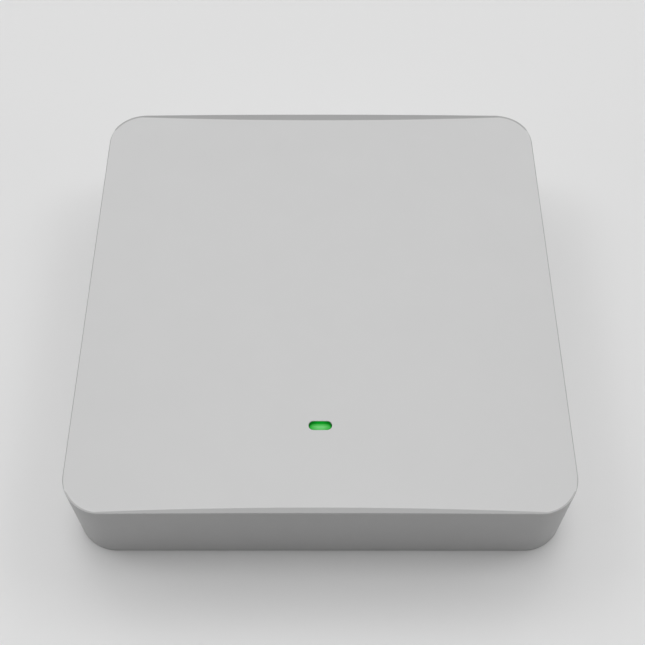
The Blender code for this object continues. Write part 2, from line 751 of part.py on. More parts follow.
def network_jacks():
    width, depth, height = JACK_SIZE
    for name, x in JACK_X.items():
        centre = (x, JACK_Y + depth / 2)
        jack = block(name, "shield_steel", centre, (width, depth), UNDER_BOARD - height, UNDER_BOARD)
        half, low, high = JACK_MOUTH
        notch, notch_low = JACK_NOTCH
        profile = [
            (half, low), (half, high), (-half, high), (-half, low),
            (-notch, low), (-notch, notch_low), (notch, notch_low), (notch, low),
        ]
        hole = bmesh.new()
        add_profile_y(hole, [(x + u, z) for u, z in profile], JACK_Y - 1, JACK_Y + 14)
        combine(jack, "DIFFERENCE", "socket", hole)


def dc_jack():
    jack = block("dc_jack", "jack_plastic", (DC_X, JACK_Y + 7.0), (9.0, 14.0), 12.7, UNDER_BOARD)
    hole = bmesh.new()
    add_turned_y(hole, DC_X, DC_Z, [(3.2, JACK_Y - 1), (3.2, JACK_Y + 9.5)])
    combine(jack, "DIFFERENCE", "socket", hole)
    pin = bmesh.new()
    add_turned_y(pin, DC_X, DC_Z, [(0.7, JACK_Y + 0.8), (1.0, JACK_Y + 1.4), (1.0, JACK_Y + 10.5)], 12)
    combine(jack, "UNION", "pin", pin)


def mode_button():
    """A flanged cap behind the bay's wall presses the plunger of a tact switch. Both move along +Y."""
    wall_far = BAY_Y[1] + BAY_WALL
    flange = wall_far + 0.4
    origin = Vector((BUTTON_X, flange, BUTTON_Z))
    cap = bmesh.new()
    front = BAY_Y[1] - 0.6
    profile = [(1.6, front), (1.9, front + 0.3), (1.9, flange), (3.0, flange), (3.0, flange + 0.8)]
    add_turned_y(cap, BUTTON_X, BUTTON_Z, profile)
    finish("mode_button", cap, "button_plastic", smooth=True, origin=origin)
    plunger = bmesh.new()
    add_turned_y(plunger, BUTTON_X, BUTTON_Z, [(1.4, flange + 0.8 + GAP), (1.4, 66.4)])
    finish("switch_plunger", plunger, "button_plastic", smooth=True, origin=origin)
    body = block("switch_body", "chip_black", (BUTTON_X, 67.0), (6.0, 4.0), 14.2, UNDER_BOARD)
    hole = bmesh.new()
    add_turned_y(hole, BUTTON_X, BUTTON_Z, [(1.7, 64.0), (1.7, 67.6)])
    combine(body, "DIFFERENCE", "plunger_hole", hole)


clear_scene()
front_cover()
light_pipe()
cover_gasket()
cover_screws()
base_casting()
mount_studs()
mounting_bracket()
latch()
main_board()
processor_and_memory()
radio_parts()
power_parts()
status_led()
standoffs()
antenna_plate()
plate_screws()
antennas()
coax_connectors()
coax_cables()
network_jacks()
dc_jack()
mode_button()
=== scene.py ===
"""Looks of the ceiling access point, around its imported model: +Z out of the face, status light near -Y."""
import json
import math

import bmesh
import bpy
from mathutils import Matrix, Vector


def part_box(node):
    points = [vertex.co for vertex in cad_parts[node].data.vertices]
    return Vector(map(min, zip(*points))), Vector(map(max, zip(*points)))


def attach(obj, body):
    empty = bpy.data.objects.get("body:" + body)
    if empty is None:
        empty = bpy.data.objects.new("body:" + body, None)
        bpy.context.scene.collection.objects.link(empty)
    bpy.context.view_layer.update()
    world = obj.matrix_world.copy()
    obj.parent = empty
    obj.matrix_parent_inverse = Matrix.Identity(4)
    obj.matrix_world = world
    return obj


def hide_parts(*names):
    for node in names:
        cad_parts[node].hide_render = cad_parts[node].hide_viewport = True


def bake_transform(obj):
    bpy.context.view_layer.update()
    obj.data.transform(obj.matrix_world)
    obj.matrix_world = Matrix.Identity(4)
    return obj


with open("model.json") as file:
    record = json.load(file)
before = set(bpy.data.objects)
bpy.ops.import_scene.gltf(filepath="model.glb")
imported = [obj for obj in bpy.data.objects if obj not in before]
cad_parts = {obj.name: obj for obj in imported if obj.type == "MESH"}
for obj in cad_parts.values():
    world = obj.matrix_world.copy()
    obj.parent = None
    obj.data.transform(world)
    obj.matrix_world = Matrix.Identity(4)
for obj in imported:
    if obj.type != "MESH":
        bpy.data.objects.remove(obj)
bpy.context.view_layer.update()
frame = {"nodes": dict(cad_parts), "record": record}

MM = 0.001

# ---------------------------------------------------------------- sizes

RIM_LOW, COVER_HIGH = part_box("front_cover")
RIM_HALF = COVER_HIGH.x
RIM_Z = RIM_LOW.z
RIM_CORNER = 18.9 * MM
RIM_RADIUS = 0.2 * MM
TOP_HALF = 108.65 * MM
TOP_CORNER = 17.5 * MM
FACE_Z = 44.2 * MM
FACE_THICKNESS = 2.4 * MM
CEILING_Z = FACE_Z - FACE_THICKNESS

# The front and back edges carry a raised lip, a crescent that runs out in the corners as a thin ridge
LIP_SLOPE = 0.435
LIP_DEPTH = 2.94 * MM
LIP_END_ANGLE = math.radians(18.0)
LIP_END_X = TOP_HALF - TOP_CORNER + TOP_CORNER * math.sin(LIP_END_ANGLE)
LIP_END_Y = TOP_HALF - TOP_CORNER + TOP_CORNER * math.cos(LIP_END_ANGLE)
LIP_MIDDLE_Y = TOP_HALF - LIP_DEPTH
LIP_RADIUS = 0.15 * MM
RIDGE_WIDTH = 0.8 * MM

# The ridge fades from where the outline's direction has this share of X; the side edges are plain fillets
RIDGE_END = 0.85
EDGE_RADIUS = 0.75 * MM

# The bend at a lip's foot is taken off by this much to each side, and stays a little way off the fillet
FOOT_ROUND = 0.25 * MM
SHORTEST_SLOPE = 0.26 * MM
FOOT_OFF_FILLET = 0.1 * MM

# Inside of the cover: a skirt up to the gasket's ledge, and a narrower space above it
SKIRT_HALF = RIM_HALF - 2.4 * MM
SKIRT_CORNER = 16.5 * MM
SKIRT_DRAFT = 0.6 * MM
LEDGE_Z = 18.2 * MM
UPPER_HALF = TOP_HALF - 4.3 * MM
UPPER_CORNER = 13.2 * MM
UPPER_DRAFT = 1.0 * MM

# Hollow posts inside the cover, for its screws
BOSS_AT = 94.0 * MM
BOSS_LOW = 9.5 * MM
BOSS_HOLE = 1.8 * MM
BOSS_HOLE_END = 23.0 * MM
BOSS_FOOT_RADIUS = 4.3 * MM
BOSS_HEAD_RADIUS = 4.8 * MM
BOSS_OVERLAP = 0.5 * MM

# The slot for the status light
PIPE_LOW, PIPE_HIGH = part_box("light_pipe")
SLOT_Y = (PIPE_LOW.y + PIPE_HIGH.y) / 2
SLOT_STRAIGHT = 3.0 * MM
SLOT_RADIUS = 2.1 * MM
SLOT_EDGE = 0.15 * MM

# The light pipe: its stem, the flange under the cover's ceiling, and the cup that fills the slot
STEM_RADIUS = 1.8 * MM
FLANGE_RADIUS = SLOT_RADIUS + 1.2 * MM
FLANGE_LOW = CEILING_Z - 1.5 * MM
FLANGE_HIGH = CEILING_Z - 0.3 * MM
CUP_RADIUS = SLOT_RADIUS - 0.03 * MM
CUP_RIM = FACE_Z - 0.25 * MM
CUP_EDGE = 0.1 * MM
CUP_FLOOR = FACE_Z - 3.6 * MM

# The latch's catch: its apex's distance from the bend, the slope's length along Y and its foot's height,
# how far behind the apex the leaf is down again, and its tip's rise over the CAD tongue's lowest point
CATCH_FROM_BEND = 40.0 * MM
SLOPE_LENGTH = 1.6 * MM
SLOPE_FOOT_Z = 4.75 * MM
CATCH_BACK = 4.6 * MM
TIP_RISE = 3.1 * MM

# The latch's leaf: where it widens from the tongue to the root, counted from the bend, its round corners,
# its broken edges as a share of its thickness, and the hole for its rivet
WIDENING_START = -0.5 * MM
WIDENING_LENGTH = 3.0 * MM
LEAF_CORNER = 2.0 * MM
LEAF_EDGE = 0.2
LEAF_STEP = 0.7 * MM
RIVET_HOLE = 1.7 * MM
RIVET_HOLE_ENDS = (1.0 * MM, 3.0 * MM)

# Inside a network socket: the comb's teeth, the block at their end, and the sprung contacts between them.
# A run is depths from the socket's mouth and heights from its roof, with half a width and half a height.
ROOF_THICKNESS = 3.0 * MM
CONTACTS = 8
CONTACT_PITCH = 1.02 * MM
TOOTH_RUN = ((9.2 * MM, -3.9 * MM), (9.6 * MM, -3.5 * MM), (13.9 * MM, -3.5 * MM))
TOOTH_HALF = (0.26 * MM, 0.9 * MM)
BACK_RUN = ((12.9 * MM, -4.1 * MM), (13.2 * MM, -4.1 * MM), (13.95 * MM, -4.1 * MM))
BACK_HALF = (5.8 * MM, 4.0 * MM)
CONTACT_RUN = (
    (3.0 * MM, -0.25 * MM), (3.6 * MM, -0.3 * MM), (4.3 * MM, -0.55 * MM),
    (10.6 * MM, -4.0 * MM), (11.2 * MM, -4.25 * MM), (13.0 * MM, -4.3 * MM),
)
CONTACT_HALF = (0.16 * MM, 0.16 * MM)
BAR_CUT = 0.3

# The power socket's centre pin: its axis's height, and its depths from the mouth and radii
POWER_AXIS_Z = 17.5 * MM
PIN_PROFILE = (
    (0.5 * MM, 0.35 * MM), (0.6 * MM, 0.6 * MM), (0.85 * MM, 0.85 * MM),
    (1.3 * MM, 1.02 * MM), (1.8 * MM, 1.06 * MM), (9.3 * MM, 1.06 * MM),
)

# Broken edges of the parts that keep their CAD shape, by material slot
BROKEN_EDGES = {
    "cast_aluminium": 0.3 * MM, "galvanised_steel": 0.15 * MM, "shield_steel": 0.12 * MM,
    "screw_steel": 0.1 * MM, "jack_plastic": 0.15 * MM, "chip_black": 0.06 * MM,
    "thermal_silicone": 0.1 * MM, "ferrite": 0.2 * MM, "capacitor_sleeve": 0.25 * MM,
    "brass": 0.06 * MM, "gasket_rubber": 0.15 * MM,
}
WELD_DISTANCE = 0.001 * MM
BEVEL_FROM_ANGLE = math.radians(40.0)

# How finely round shapes are cut
ARC_STEPS = 20
LIP_ARC_STEPS = 5
EDGE_STEPS = 72
FILLET_STEPS = 7
ROUND_STEPS = 4
PILL_STEPS = 14
SMALL_SIDES = 24
BOSS_SIDES = 32


# ---------------------------------------------------------------- outlines

def arc_angles():
    """Corner angles counted from the front or back edge, with one exactly where the lip ends."""
    near = [LIP_END_ANGLE * i / LIP_ARC_STEPS for i in range(LIP_ARC_STEPS)]
    rest = ARC_STEPS - LIP_ARC_STEPS
    far = [LIP_END_ANGLE + (math.pi / 2 - LIP_END_ANGLE) * i / rest for i in range(rest + 1)]
    return near + far


def rounded_square(half, corner):
    """Points of a square with round corners, and the outward direction at each, anticlockwise."""
    middle = half - corner
    points = []
    for sign_x, sign_y in ((1, 1), (-1, 1), (-1, -1), (1, -1)):
        before_edge = sign_x == sign_y
        angles = reversed(arc_angles()) if before_edge else arc_angles()
        for angle in angles:
            out = Vector((sign_x * math.sin(angle), sign_y * math.cos(angle), 0.0))
            points.append((Vector((sign_x * middle, sign_y * middle, 0.0)) + out * corner, out))
        if before_edge:
            for step in range(1, EDGE_STEPS):
                x = sign_x * middle * (1 - 2 * step / EDGE_STEPS)
                points.append((Vector((x, sign_y * half, 0.0)), Vector((0.0, sign_y, 0.0))))
    return points


def at_height(outline, z):
    return [point + Vector((0, 0, z)) for point, _ in outline]


def pill(radius, z):
    """The light slot's outline at a radius, drawn out along X, anticlockwise."""
    points = []
    for side, start in ((1, -90.0), (-1, 90.0)):
        for i in range(PILL_STEPS + 1):
            angle = math.radians(start + 180.0 * i / PILL_STEPS)
            x = side * SLOT_STRAIGHT + radius * math.cos(angle)
            points.append(Vector((x, SLOT_Y + radius * math.sin(angle), z)))
    return points


def circle(centre, radius, z, sides):
    x, y = centre
    turn = 2 * math.pi / sides
    angles = [i * turn for i in range(sides)]
    return [Vector((x + radius * math.cos(angle), y + radius * math.sin(angle), z)) for angle in angles]


def quarter_round(radius):
    """How far a rounded edge stands off its side and off its end, from the end to the side."""
    angles = [math.pi / 2 * step / ROUND_STEPS for step in range(ROUND_STEPS + 1)]
    return [(radius * (1 - math.sin(angle)), radius * (1 - math.cos(angle))) for angle in angles]


def ease(share):
    """A smooth step from 0 to 1."""
    share = min(1.0, max(0.0, share))
    return share * share * (3 - 2 * share)


# ---------------------------------------------------------------- mesh helpers

def add_rings(mesh, rings):
    """Skin a run of equally long rings. Returns the rings' vertices."""
    made = [[mesh.verts.new(point) for point in ring] for ring in rings]
    count = len(made[0])
    for low, high in zip(made, made[1:]):
        for i in range(count):
            j = (i + 1) % count
            mesh.faces.new((low[i], low[j], high[j], high[i]))
    return made


def add_solid(mesh, rings):
    """Skin a run of rings and close both of its ends."""
    made = add_rings(mesh, rings)
    mesh.faces.new(made[0])
    mesh.faces.new(made[-1])


def loop_edges(mesh, ring):
    return [mesh.edges.get((ring[i], ring[(i + 1) % len(ring)])) for i in range(len(ring))]


def add_object(name, data):
    """Add an object to the scene."""
    item = bpy.data.objects.new(name, data)
    bpy.context.scene.collection.objects.link(item)
    return item


def mesh_object(name, mesh):
    """Turn a bmesh into an object, with its faces looking outward."""
    bmesh.ops.recalc_face_normals(mesh, faces=mesh.faces)
    data = bpy.data.meshes.new(name)
    mesh.to_mesh(data)
    mesh.free()
    return add_object(name, data)


def piece(name, mesh, look, body, slot, *nodes):
    """Make an object from a bmesh, ride it on a body and let it stand for CAD nodes."""
    item = mesh_object(name, mesh)
    item.data.materials.append(look)
    if body:
        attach(item, body)
    if nodes:
        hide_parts(*nodes)
    return item


def apply_modifiers(item):
    """Turn an object's modifiers into its mesh."""
    graph = bpy.context.evaluated_depsgraph_get()
    shaped = item.evaluated_get(graph)
    data = bpy.data.meshes.new_from_object(shaped, preserve_all_data_layers=True, depsgraph=graph)
    item.modifiers.clear()
    item.data = data


def combine(item, operation, mesh):
    """Join a bmesh to an object, or cut it out."""
    helper = mesh_object("helper", mesh)
    modifier = item.modifiers.new("combine", "BOOLEAN")
    modifier.operation = operation
    modifier.object = helper
    apply_modifiers(item)
    bpy.data.objects.remove(helper)


def smooth(item, degrees):
    """Shade smooth, with edges sharper than an angle left sharp."""
    item.data.shade_smooth()
    item.data.set_sharp_from_angle(angle=math.radians(degrees))


def weigh_normals(item):
    """Let large flat faces keep their own normal next to small fillets."""
    modifier = item.modifiers.new("weighted_normals", "WEIGHTED_NORMAL")
    modifier.keep_sharp = True
    modifier.weight = 100
    apply_modifiers(item)


# ---------------------------------------------------------------- materials

class Look:
    """A Principled material with a few node chains: mottled colour, changing roughness, fine bumps."""

    def __init__(self, name, colour, roughness, metallic=0.0, **sockets):
        self.material = bpy.data.materials.new(name)
        self.material.use_nodes = True
        self.nodes = self.material.node_tree.nodes
        self.links = self.material.node_tree.links
        self.shader = self.nodes["Principled BSDF"]
        self.colour = colour
        self.roughness = roughness
        self.height = None
        self.set("Base Color", (*colour, 1.0))
        self.set("Roughness", roughness)
        self.set("Metallic", metallic)
        for socket, value in sockets.items():
            self.set(socket.replace("_", " "), value)
        self.coordinates = self.nodes.new("ShaderNodeTexCoord").outputs
        self.place = self.coordinates["Object"]

    def set(self, socket, value):
        self.shader.inputs[socket].default_value = value

    def join(self, output, socket):
        self.links.new(output, self.shader.inputs[socket])

    def noise(self, size, detail=2.0, stretch=(1, 1, 1)):
        """Noise whose lumps are about `size` metres across, longer where stretch is above 1."""
        mapping = self.nodes.new("ShaderNodeMapping")
        mapping.inputs["Scale"].default_value = [1 / (size * factor) for factor in stretch]
        self.links.new(self.place, mapping.inputs["Vector"])
        noise = self.nodes.new("ShaderNodeTexNoise")
        noise.inputs["Scale"].default_value = 1.0
        noise.inputs["Detail"].default_value = detail
        self.links.new(mapping.outputs["Vector"], noise.inputs["Vector"])
        return noise.outputs["Fac"]

    def cells(self, size):
        """Voronoi cells about `size` metres across, each with its own grey."""
        voronoi = self.nodes.new("ShaderNodeTexVoronoi")
        voronoi.inputs["Scale"].default_value = 1 / size
        self.links.new(self.place, voronoi.inputs["Vector"])
        grey = self.nodes.new("ShaderNodeSeparateColor")
        self.links.new(voronoi.outputs["Color"], grey.inputs["Color"])
        return grey.outputs["Red"]

    def stripes(self, pitch, direction):
        """Straight bands that follow each other along X or Y, one each `pitch` metres."""
        wave = self.nodes.new("ShaderNodeTexWave")
        wave.bands_direction = direction
        wave.inputs["Scale"].default_value = math.pi / (10 * pitch)
        self.links.new(self.place, wave.inputs["Vector"])
        return wave.outputs["Fac"]

    def choose(self, switch, first, second):
        """One of two patterns, by whether a third is below or above its middle."""
        pick = self.nodes.new("ShaderNodeMix")
        self.links.new(self.spread(switch, 0.0, 1.0, 0.49, 0.51), pick.inputs["Factor"])
        self.links.new(first, pick.inputs["A"])
        self.links.new(second, pick.inputs["B"])
        return pick.outputs["Result"]

    def component(self, vector, axis):
        """One coordinate of a vector."""
        split = self.nodes.new("ShaderNodeSeparateXYZ")
        self.links.new(vector, split.inputs["Vector"])
        return split.outputs[axis]

    def distance(self, output, level):
        """How far a number is from a level."""
        offset = self.nodes.new("ShaderNodeMath")
        offset.operation = "SUBTRACT"
        self.links.new(output, offset.inputs[0])
        offset.inputs[1].default_value = level
        size = self.nodes.new("ShaderNodeMath")
        size.operation = "ABSOLUTE"
        self.links.new(offset.outputs["Value"], size.inputs[0])
        return size.outputs["Value"]

    def facing_up(self):
        """1 on faces that look along +Z, 0 elsewhere."""
        return self.spread(self.component(self.coordinates["Normal"], "Z"), 0.0, 1.0, 0.90, 0.95)

    def spread(self, output, low, high, start=0.3, end=0.7):
        """Map a pattern's range from start to end onto low..high."""
        mapped = self.nodes.new("ShaderNodeMapRange")
        mapped.inputs["From Min"].default_value = start
        mapped.inputs["From Max"].default_value = end
        mapped.inputs["To Min"].default_value = low
        mapped.inputs["To Max"].default_value = high
        self.links.new(output, mapped.inputs["Value"])
        return mapped.outputs["Result"]

    def mix(self, factor, first, second):
        """Blend two colours, each one either a fixed colour or another node's output."""
        blend = self.nodes.new("ShaderNodeMix")
        blend.data_type = "RGBA"
        for socket, colour in (("A", first), ("B", second)):
            if isinstance(colour, tuple):
                blend.inputs[socket].default_value = (*colour, 1.0)
            else:
                self.links.new(colour, blend.inputs[socket])
        self.links.new(factor, blend.inputs["Factor"])
        return blend.outputs["Result"]

    def mottle(self, pattern, amount):
        """Lighten and darken the base colour by a share, along a pattern."""
        dark = tuple(channel * (1 - amount) for channel in self.colour)
        light = tuple(min(1.0, channel * (1 + amount)) for channel in self.colour)
        self.join(self.mix(self.spread(pattern, 0.0, 1.0), dark, light), "Base Color")

    def shade(self, colour, pattern, amount):
        """Darken and lighten another node's colour by a share, along a pattern."""
        factor = self.spread(pattern, 1 - amount, 1 + amount)
        product = self.nodes.new("ShaderNodeVectorMath")
        product.operation = "SCALE"
        self.links.new(colour, product.inputs[0])
        self.links.new(factor, product.inputs["Scale"])
        return product.outputs["Vector"]

    def vary_roughness(self, pattern, amount):
        self.join(self.spread(pattern, self.roughness - amount, self.roughness + amount), "Roughness")

    def bump(self, pattern, depth):
        """Relief of a real depth, in metres. A second call adds to the first."""
        bump = self.nodes.new("ShaderNodeBump")
        bump.inputs["Strength"].default_value = 1.0
        bump.inputs["Distance"].default_value = depth
        self.links.new(pattern, bump.inputs["Height"])
        if self.height:
            self.links.new(self.height, bump.inputs["Normal"])
        self.height = bump.outputs["Normal"]
        self.join(self.height, "Normal")


# The frame's grey is painted shade: the walls and lips are given a darker grey than the face to stand in for
# the shade they get
FACE_GREY = (0.593, 0.593, 0.593)
SHADED_FRAME_GREY = (0.41, 0.41, 0.41)


def cover_look():
    """Moulded plastic with a fine spark-eroded texture. Everything but the flat of the face, walls and lips
    alike, is painted darker as painted shade.
    """
    look = Look("cover_plastic", SHADED_FRAME_GREY, 0.42, IOR=1.5)
    off_face = look.distance(look.component(look.place, "Z"), FACE_Z)
    flat = look.spread(off_face, 1.0, 0.0, 0.02 * MM, 0.08 * MM)
    # Painted shade: all but the flat of the face takes the darker frame grey
    tone = look.mix(flat, SHADED_FRAME_GREY, FACE_GREY)
    look.join(look.shade(tone, look.noise(18 * MM, 3.0), 0.006), "Base Color")
    look.vary_roughness(look.noise(6 * MM, 3.0), 0.02)
    look.bump(look.noise(0.45 * MM, 2.0), 0.014 * MM)
    return look.material


# Glow of the light pipe's cup, each in its middle and at its two ends
GLOW_WALL = ((0.0, 0.26, 0.010), (0.0, 0.04, 0.001))
GLOW_FLOOR = ((0.10, 0.50, 0.11), (0.0, 0.33, 0.01))


def light_pipe_look():
    """Green tinted plastic that glows: brightest on the floor of its cup and towards its middle."""
    look = Look("light_green", (0.0, 0.06, 0.01), 0.3, Specular_IOR_Level=0.3)
    across = look.distance(look.component(look.place, "X"), 0.0)
    to_end = look.spread(across, 0.0, 1.0, 1.2 * MM, 5.0 * MM)
    height = look.component(look.place, "Z")
    low_down = look.spread(height, 1.0, 0.0, CUP_FLOOR + 0.1 * MM, CUP_FLOOR + 1.6 * MM)
    glow = look.mix(low_down, look.mix(to_end, *GLOW_WALL), look.mix(to_end, *GLOW_FLOOR))
    look.join(glow, "Emission Color")
    look.set("Emission Strength", 1.0)
    look.bump(look.noise(0.6 * MM), 0.004 * MM)
    return look.material


def metal_look(name, colour, roughness, grain):
    """Plain metal: faint cloudy tone, fingers and dust in the roughness, fine scratches along Y."""
    look = Look(name, colour, roughness, 1.0)
    look.mottle(look.noise(9 * MM, 4.0), 0.08)
    look.vary_roughness(look.noise(3 * MM, 3.0), 0.07)
    look.bump(look.noise(grain, 3.0, (1, 14, 1)), 0.002 * MM)
    return look.material


def cast_look():
    """Die-cast aluminium: grainy skin with soft flow marks in its tone."""
    look = Look("cast_aluminium", (0.44, 0.45, 0.46), 0.52, 1.0)
    look.mottle(look.noise(14 * MM, 5.0, (1, 2.5, 1)), 0.10)
    look.vary_roughness(look.noise(5 * MM, 4.0), 0.08)
    look.bump(look.noise(5 * MM, 3.0), 0.06 * MM)
    look.bump(look.noise(0.5 * MM, 3.0), 0.03 * MM)
    return look.material


def galvanised_look():
    """Zinc spangle: crystals of several millimetres, each with its own tone and gloss, finely scratched."""
    look = Look("galvanised_steel", (0.50, 0.515, 0.53), 0.36, 1.0)
    spangle = look.cells(7 * MM)
    look.mottle(spangle, 0.09)
    look.vary_roughness(spangle, 0.08)
    look.bump(look.noise(2.5 * MM, 4.0), 0.012 * MM)
    look.bump(look.noise(0.3 * MM, 3.0, (1, 12, 1)), 0.004 * MM)
    return look.material


def board_look():
    """Solder mask over copper: tracks show as raised, lighter lines, along X in places and Y in others."""
    look = Look("board_green", (0.012, 0.105, 0.045), 0.38)
    tracks = look.choose(look.cells(11 * MM), look.stripes(1.3 * MM, "X"), look.stripes(1.3 * MM, "Y"))
    lines = look.spread(tracks, 0.0, 1.0, 0.62, 0.72)
    look.join(look.mix(lines, (0.010, 0.085, 0.036), (0.030, 0.175, 0.075)), "Base Color")
    look.vary_roughness(look.noise(7 * MM, 2.0), 0.05)
    look.bump(lines, 0.03 * MM)
    return look.material


SLEEVE = (0.02, 0.02, 0.08)
BARE_ALUMINIUM = (0.60, 0.60, 0.61)


def capacitor_look():
    """Dark sleeve round the side, bare aluminium on top."""
    look = Look("capacitor_sleeve", SLEEVE, 0.35)
    top = look.facing_up()
    look.join(look.mix(top, SLEEVE, BARE_ALUMINIUM), "Base Color")
    look.join(top, "Metallic")
    look.bump(look.noise(0.3 * MM, 2.0), 0.004 * MM)
    return look.material


def plastic_look(name, colour, roughness):
    """Plain plastic, rubber or ceramic: faint cloudy tone, uneven gloss and a fine grain."""
    look = Look(name, colour, roughness)
    look.mottle(look.noise(4 * MM, 3.0), 0.10)
    look.vary_roughness(look.noise(2 * MM, 2.0), 0.05)
    look.bump(look.noise(0.4 * MM, 2.0), 0.006 * MM)
    return look.material


def all_looks():
    """One material for each of the record's material slots."""
    return {
        "cover_plastic": cover_look(),
        "light_green": light_pipe_look(),
        "cast_aluminium": cast_look(),
        "galvanised_steel": galvanised_look(),
        "spring_steel": metal_look("spring_steel", (0.42, 0.42, 0.43), 0.26, 0.2 * MM),
        "screw_steel": metal_look("screw_steel", (0.5, 0.5, 0.5), 0.3, 0.2 * MM),
        "shield_steel": metal_look("shield_steel", (0.7, 0.7, 0.68), 0.28, 0.3 * MM),
        "brass": metal_look("brass", (0.75, 0.58, 0.28), 0.3, 0.2 * MM),
        "gasket_rubber": plastic_look("gasket_rubber", (0.03, 0.03, 0.03), 0.8),
        "thermal_silicone": plastic_look("thermal_silicone", (0.35, 0.45, 0.6), 0.85),
        "board_green": board_look(),
        "chip_black": plastic_look("chip_black", (0.02, 0.02, 0.022), 0.45),
        "ferrite": plastic_look("ferrite", (0.05, 0.05, 0.055), 0.6),
        "capacitor_sleeve": capacitor_look(),
        "jack_plastic": plastic_look("jack_plastic", (0.03, 0.03, 0.03), 0.4),
        "button_plastic": plastic_look("button_plastic", (0.08, 0.08, 0.08), 0.35),
        "led_resin": plastic_look("led_resin", (0.8, 0.85, 0.7), 0.3),
        "coax_jacket": plastic_look("coax_jacket", (0.03, 0.03, 0.03), 0.45),
    }


def paint_nodes(looks):
    """Give each CAD node that stays the look of its material slot."""
    slots = {entry["node"]: entry["material_slot"] for entry in frame["record"]["subparts"]}
    for name, node in frame["nodes"].items():
        node.data.materials.clear()
        node.data.materials.append(looks[slots[name]])


def soften_edges():
    """Small broken edges on the metal and plastic parts that keep their CAD shape."""
    for entry in frame["record"]["subparts"]:
        width = BROKEN_EDGES.get(entry["material_slot"])
        if width:
            node = frame["nodes"][entry["node"]]
            node.modifiers.new("joined_faces", "WELD").merge_threshold = WELD_DISTANCE
            bevel = node.modifiers.new("broken_edges", "BEVEL")
            bevel.width = width
            bevel.segments = 2
            bevel.limit_method = "ANGLE"
            bevel.angle_limit = BEVEL_FROM_ANGLE


# ---------------------------------------------------------------- cover

def lip_foot(x):
    """Distance from the middle of the face at which a lip starts to rise."""
    return LIP_MIDDLE_Y + (LIP_END_Y - LIP_MIDDLE_Y) * (x / LIP_END_X) ** 2


def lip_width(point):
    """Width of the lip at a point of the top outline, 0 where it has run out."""
    if abs(point.x) >= LIP_END_X:
        return 0.0
    return max(0.0, abs(point.y) - lip_foot(point.x))


def wall_point(top, rim, z):
    """A point on the drafted wall, on the line from a point of the rim's outline to the top outline's."""
    share = (z - RIM_Z) / (FACE_Z - RIM_Z)
    return (rim + (top - rim) * share).to_3d() + Vector((0, 0, z))


def edge_profile(top, rim, out):
    """Section of the top edge, from the wall over the fillet and down the lip to the flat face."""
    to_side = ease((abs(out.x) - RIDGE_END) / (1 - RIDGE_END))
    width = max(lip_width(top), RIDGE_WIDTH * (1 - to_side))
    slope = LIP_SLOPE * (1 - to_side)
    radius = LIP_RADIUS + (EDGE_RADIUS - LIP_RADIUS) * to_side
    end = math.atan2(1, slope)
    reach = radius * (1 + math.cos(end))
    edge_z = FACE_Z + slope * max(width, reach)
    centre_z = edge_z - slope * radius - radius * math.hypot(1, slope)
    points = []
    for step in range(FILLET_STEPS + 1):
        angle = math.pi + (end - math.pi) * step / FILLET_STEPS
        point = wall_point(top, rim, centre_z) - out * radius * (1 + math.cos(angle))
        point.z = centre_z + radius * math.sin(angle)
        points.append(point)
    if lip_width(top) > RIDGE_WIDTH:
        foot = Vector((top.x, math.copysign(lip_foot(top.x), top.y), 0.0))
    else:
        foot = top - out * max(width, reach + FOOT_OFF_FILLET)
    foot.z = FACE_Z
    last = points[-1]
    above = last.lerp(foot, 1 - FOOT_ROUND / max((foot - last).length, SHORTEST_SLOPE))
    inner = foot - out * FOOT_ROUND
    return points + [above, inner]


def outer_rings():
    """The cover's outside, from the underside of its rim up to the start of the flat face."""
    top = rounded_square(TOP_HALF, TOP_CORNER)
    rim = rounded_square(RIM_HALF, RIM_CORNER)
    rings = []
    for inward, rise in quarter_round(RIM_RADIUS):
        rings.append([wall_point(t, r, RIM_Z + rise) - out * inward for (t, out), (r, _) in zip(top, rim)])
    profiles = [edge_profile(t, r, out) for (t, out), (r, _) in zip(top, rim)]
    return rings + [list(ring) for ring in zip(*profiles)]


def inner_rings():
    """The cover's inside, from its ceiling down over the gasket ledge to the rim."""
    return [
        at_height(rounded_square(UPPER_HALF, UPPER_CORNER), CEILING_Z),
        at_height(rounded_square(UPPER_HALF + UPPER_DRAFT, UPPER_CORNER + UPPER_DRAFT), LEDGE_Z),
        at_height(rounded_square(SKIRT_HALF - SKIRT_DRAFT, SKIRT_CORNER - SKIRT_DRAFT), LEDGE_Z),
        at_height(rounded_square(SKIRT_HALF, SKIRT_CORNER), RIM_Z),
    ]


def slot_rings():
    """The slot through the face, with a soft edge where it meets the face."""
    rings = [pill(SLOT_RADIUS + grow, FACE_Z - drop) for grow, drop in quarter_round(SLOT_EDGE)]
    return rings + [pill(SLOT_RADIUS, CEILING_Z)]


def cover_bosses():
    """Four hollow posts that take the cover's screws."""
    mesh = bmesh.new()
    profile = [
        (BOSS_HOLE, BOSS_HOLE_END), (BOSS_HOLE, BOSS_LOW),
        (BOSS_FOOT_RADIUS, BOSS_LOW), (BOSS_HEAD_RADIUS, CEILING_Z + BOSS_OVERLAP),
    ]
    for sign_x, sign_y in ((1, 1), (-1, 1), (-1, -1), (1, -1)):
        centre = (sign_x * BOSS_AT, sign_y * BOSS_AT)
        add_solid(mesh, [circle(centre, radius, z, BOSS_SIDES) for radius, z in profile])
    return mesh


